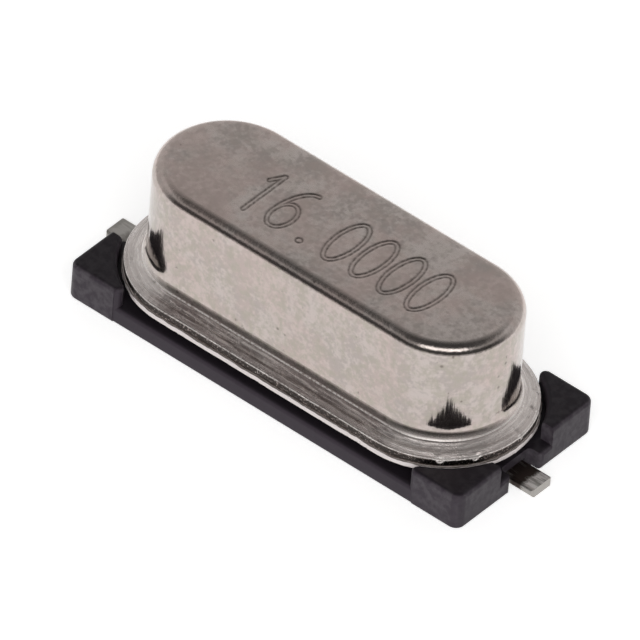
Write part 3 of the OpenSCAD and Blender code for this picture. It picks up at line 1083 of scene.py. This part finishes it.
def header_piece():
    """The stamped header, with a ragged sheared rim and an eyelet round each glass seal."""
    header = settings("header")
    seed = settings("stage").seed
    z0, z1 = HEADER_LOW.z, HEADER_HIGH.z
    edge = HEADER_HIGH.y
    plug = edge - header.plug_inset
    hollow = plug - header.flange
    under = z1 - header.roof
    low_r, up_r, plug_r = header.lower_radius, header.upper_radius, header.plug_radius
    flange_z = z0 + header.flange
    below = [(hollow, under), *line((hollow, under), (hollow, z0), 3), (hollow, z0)]
    below += line((hollow, z0), (edge - low_r, z0), 8)
    rim = arc((edge - low_r, z0 + low_r), low_r, -90, 0, 8)
    rim += arc((edge - up_r, flange_z - up_r), up_r, 0, 90, 4)
    above = [*line((edge - up_r, flange_z), (plug, flange_z), 4), (plug, flange_z)]
    above += line((plug, flange_z), (plug, z1 - plug_r), 4)
    above += arc((plug - plug_r, z1 - plug_r), plug_r, 0, 90, 5)
    stations = oblong_stations(side_steps=330, end_steps=170)

    def shift(point, outward, k, reach, height):
        if not 0 <= k - len(below) < len(rim):
            return Vector()
        side = Vector((outward.x, outward.y, 0))
        here = Vector((point.x, point.y, 0))
        steps = round(3 * wander(here, 1.9, seed) + 2 * wander(here, 5, seed + 4)) / 4
        rough = 0.15 * wander(point, 12, seed + 6)
        low = max(0.0, 1 - (height - z0) / (1.3 * low_r))
        bite = header.burr * (steps + rough)
        return side * min(0.4 * header.burr, 0.5 * bite) + Vector((0, 0, max(0.0, bite) * low))

    mesh = bmesh.new()
    rings = sweep(mesh, stations, below + rim + above, shift)
    seal_x = (SEAL_LOW.x + SEAL_HIGH.x) / 2
    seal_r = (SEAL_HIGH.x - SEAL_LOW.x) / 2
    eyelet_r = seal_r + header.eyelet
    profile = [(seal_r, z1), (seal_r, SEAL_LOW.z), (eyelet_r, SEAL_LOW.z), (eyelet_r, under)]
    tops, undersides = [], []
    for x in (-seal_x, seal_x):
        hole = [circle_ring(mesh, x, radius, z) for radius, z in profile]
        bridge(mesh, hole)
        tops.append(hole[0])
        undersides.append(hole[-1])
    fill_flat(mesh, rings[0], undersides, False)
    fill_flat(mesh, rings[-1], tops, True)
    return finish_mesh(mesh, "header_stamping", header_material(), "header")


# ---------------- Stage


# Light of the backdrop and of the room round the camera, by the sine of the elevation
BACKDROP = [
    (0.0, 0.75), (0.12, 0.62), (0.4, 0.6), (0.7, 0.6), (0.8, 0.28), (0.9, 0.09), (1.0, 0.06)
]
ROOM = [
    (0.0, 0.6), (0.08, 0.5), (0.14, 0.06), (0.52, 0.07),
    (0.6, 0.42), (0.72, 0.42), (0.8, 0.1), (1.0, 0.06),
]
STUDIO_TINT = (1.0, 0.99, 0.98)
# The floor's own light toward everything, and what it adds where it is seen
FLOOR_GLOW, FLOOR_SEEN_GLOW = 0.4, 0.22
# Side and place of the soft light, in metres
KEY_SIZE, KEY_PLACE = 0.3, Vector((0.19, -0.25, 0.14))


def seen_directly(tree):
    """1 for a ray from the camera, and for one by which metal or glass shows what is round it."""
    path = put(tree, "LightPath").outputs
    mirrored = larger(path["Is Glossy Ray"], path["Is Transmission Ray"])
    return larger(path["Is Camera Ray"], mirrored)


def studio_world():
    """White to the camera, and to all else a plain studio with a soft lamp beside the camera."""
    stage = settings("stage")
    world = bpy.data.worlds.new("studio")
    bpy.context.scene.world = world
    tree = fresh_tree(world, "OutputWorld")
    where = put(tree, "TexCoord").outputs["Generated"]
    height = put(tree, "SeparateXYZ", where).outputs[2]
    level = vector_node("MULTIPLY", where, (1, 1, 0))[0]
    level = vector_node("NORMALIZE", level)[0]
    ahead = (math.sin(stage.azimuth), -math.cos(stage.azimuth), 0)
    toward = vector_node("DOT_PRODUCT", level, ahead)["Value"]
    back, front = graded(height, BACKDROP), graded(height, ROOM)
    sides = mix(spread(toward, -0.4, 0.3), back, front)
    lamp = product(
        spread(toward, 0.74, 0.86),
        spread(height, 0.6, 0.64),
        fade(height, 0.82, 0.88),
        stage.lamp,
    )
    studio = put(tree, "Background", STUDIO_TINT, total(sides, lamp)).outputs[0]
    white = put(tree, "Background", (1, 1, 1)).outputs[0]
    camera_ray = put(tree, "LightPath").outputs["Is Camera Ray"]
    final = put(tree, "MixShader", camera_ray, studio, white).outputs[0]
    show(tree, final)


def floor_piece():
    """A wide pale floor just under the seating plane, clear when seen from below."""
    stage = settings("stage")
    mesh = bmesh.new()
    bmesh.ops.create_grid(mesh, x_segments=1, y_segments=1, size=stage.floor_reach)
    data = bpy.data.meshes.new("floor")
    mesh.to_mesh(data)
    mesh.free()
    floor = add_object("floor", data)
    floor.location.z = CAD_BOX[0][2] - stage.floor_gap
    material, tree = new_material("floor_white")
    diffuse = put(tree, "BsdfDiffuse", stage.floor).outputs[0]
    glow = put(tree, "Emission", None, FLOOR_GLOW).outputs[0]
    plain = put(tree, "AddShader", diffuse, glow).outputs[0]
    extra = put(tree, "Emission", None, FLOOR_SEEN_GLOW).outputs[0]
    brighter = put(tree, "AddShader", plain, extra).outputs[0]
    above = put(tree, "MixShader", seen_directly(tree), plain, brighter).outputs[0]
    behind = put(tree, "NewGeometry").outputs["Backfacing"]
    clear = put(tree, "BsdfTransparent").outputs[0]
    one_sided = put(tree, "MixShader", behind, above, clear).outputs[0]
    show(tree, one_sided)
    data.materials.append(material)


def key_light():
    """The soft square light, which looks at the object and isn't mirrored in it."""
    data = bpy.data.lights.new("key", "AREA")
    data.shape = "SQUARE"
    data.size = KEY_SIZE
    data.energy = settings("stage").key
    lamp = add_object("key", data)
    lamp.location = KEY_PLACE
    lamp.rotation_mode = "QUATERNION"
    lamp.rotation_quaternion = (-KEY_PLACE).to_track_quat("-Z", "Y")
    lamp.visible_glossy = False


def camera_piece():
    """The camera, from its angles, distance, aim and roll."""
    stage = settings("stage")
    azimuth, elevation = stage.azimuth, stage.elevation
    back = Vector(
        (
            math.sin(azimuth) * math.cos(elevation),
            -math.cos(azimuth) * math.cos(elevation),
            math.sin(elevation),
        )
    )
    data = bpy.data.cameras.new("camera")
    data.lens = stage.lens
    data.sensor_width = 36
    data.clip_start, data.clip_end = 0.01, 10
    camera = add_object("camera", data)
    camera.rotation_mode = "QUATERNION"
    camera.location = Vector(stage.aim) + back * stage.distance
    look = (-back).to_track_quat("-Z", "Y").to_matrix().to_4x4()
    camera.rotation_quaternion = (look @ Matrix.Rotation(-stage.roll, 4, "Z")).to_quaternion()
    bpy.context.scene.camera = camera


# ---------------- Operators


class CRYSTAL_OT_stage(Operator):
    """Make the floor, the studio, the light and the camera"""

    bl_idname = "crystal.stage"
    bl_label = "Stage"

    def execute(self, context):
        context.scene.view_settings.view_transform = "Standard"
        floor_piece()
        studio_world()
        key_light()
        camera_piece()
        return {"FINISHED"}


class CRYSTAL_OT_can(Operator):
    """Make the drawn can with its engraved number"""

    bl_idname = "crystal.can"
    bl_label = "Can"

    def execute(self, context):
        can_piece()
        return {"FINISHED"}


class CRYSTAL_OT_header(Operator):
    """Make the stamped header with its ragged rim"""

    bl_idname = "crystal.header"
    bl_label = "Header"

    def execute(self, context):
        header_piece()
        return {"FINISHED"}


class CRYSTAL_OT_base(Operator):
    """Finish the moulded base"""

    bl_idname = "crystal.base"
    bl_label = "Insulator Base"

    def execute(self, context):
        finish_nodes(["insulator_base"], plastic_material())
        return {"FINISHED"}


class CRYSTAL_OT_leads(Operator):
    """Finish the two tinned leads"""

    bl_idname = "crystal.leads"
    bl_label = "Leads"

    def execute(self, context):
        finish_nodes(["lead_left", "lead_right"], lead_material())
        return {"FINISHED"}


class CRYSTAL_OT_inner(Operator):
    """Finish the seals, clips, blank, films and adhesive sealed in the can"""

    bl_idname = "crystal.inner"
    bl_label = "Sealed Pieces"

    def execute(self, context):
        finish_nodes(["glass_seal_left", "glass_seal_right"], glass_material())
        finish_nodes(["mounting_clip_left", "mounting_clip_right"], strip_material())
        finish_nodes(["quartz_blank"], quartz_material())
        finish_nodes(["electrode_front", "electrode_back"], film_material())
        finish_nodes(["adhesive_left", "adhesive_right"], glue_material())
        return {"FINISHED"}


class CRYSTAL_PT_panel(Panel):
    """Lists the pieces of the crystal oscillator"""

    bl_idname = "CRYSTAL_PT_panel"
    bl_label = "Crystal Oscillator"
    bl_space_type = "VIEW_3D"
    bl_region_type = "UI"
    bl_category = "Crystal"

    def draw(self, context):
        for operator in OPERATORS:
            self.layout.operator(operator.bl_idname)


GROUP_CLASSES = {
    "can": CanSettings,
    "header": HeaderSettings,
    "marking": MarkingSettings,
    "base": BaseSettings,
    "lead": LeadSettings,
    "inner": InnerSettings,
    "stage": StageSettings,
}
OPERATORS = (
    CRYSTAL_OT_stage,
    CRYSTAL_OT_can,
    CRYSTAL_OT_header,
    CRYSTAL_OT_base,
    CRYSTAL_OT_leads,
    CRYSTAL_OT_inner,
)
CLASSES = (*GROUP_CLASSES.values(), *OPERATORS, CRYSTAL_PT_panel)


def register():
    for item in CLASSES:
        bpy.utils.register_class(item)
    for name, settings_class in GROUP_CLASSES.items():
        setattr(bpy.types.Scene, "crystal_" + name, PointerProperty(type=settings_class))


def unregister():
    for name in GROUP_CLASSES:
        delattr(bpy.types.Scene, "crystal_" + name)
    for item in reversed(CLASSES):
        bpy.utils.unregister_class(item)


def main():
    """Registers the classes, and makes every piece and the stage."""
    register()
    bpy.ops.crystal.stage()
    bpy.ops.crystal.can()
    bpy.ops.crystal.header()
    bpy.ops.crystal.base()
    bpy.ops.crystal.leads()
    bpy.ops.crystal.inner()
    bpy.context.view_layer.update()


if __name__ == "__main__":
    main()
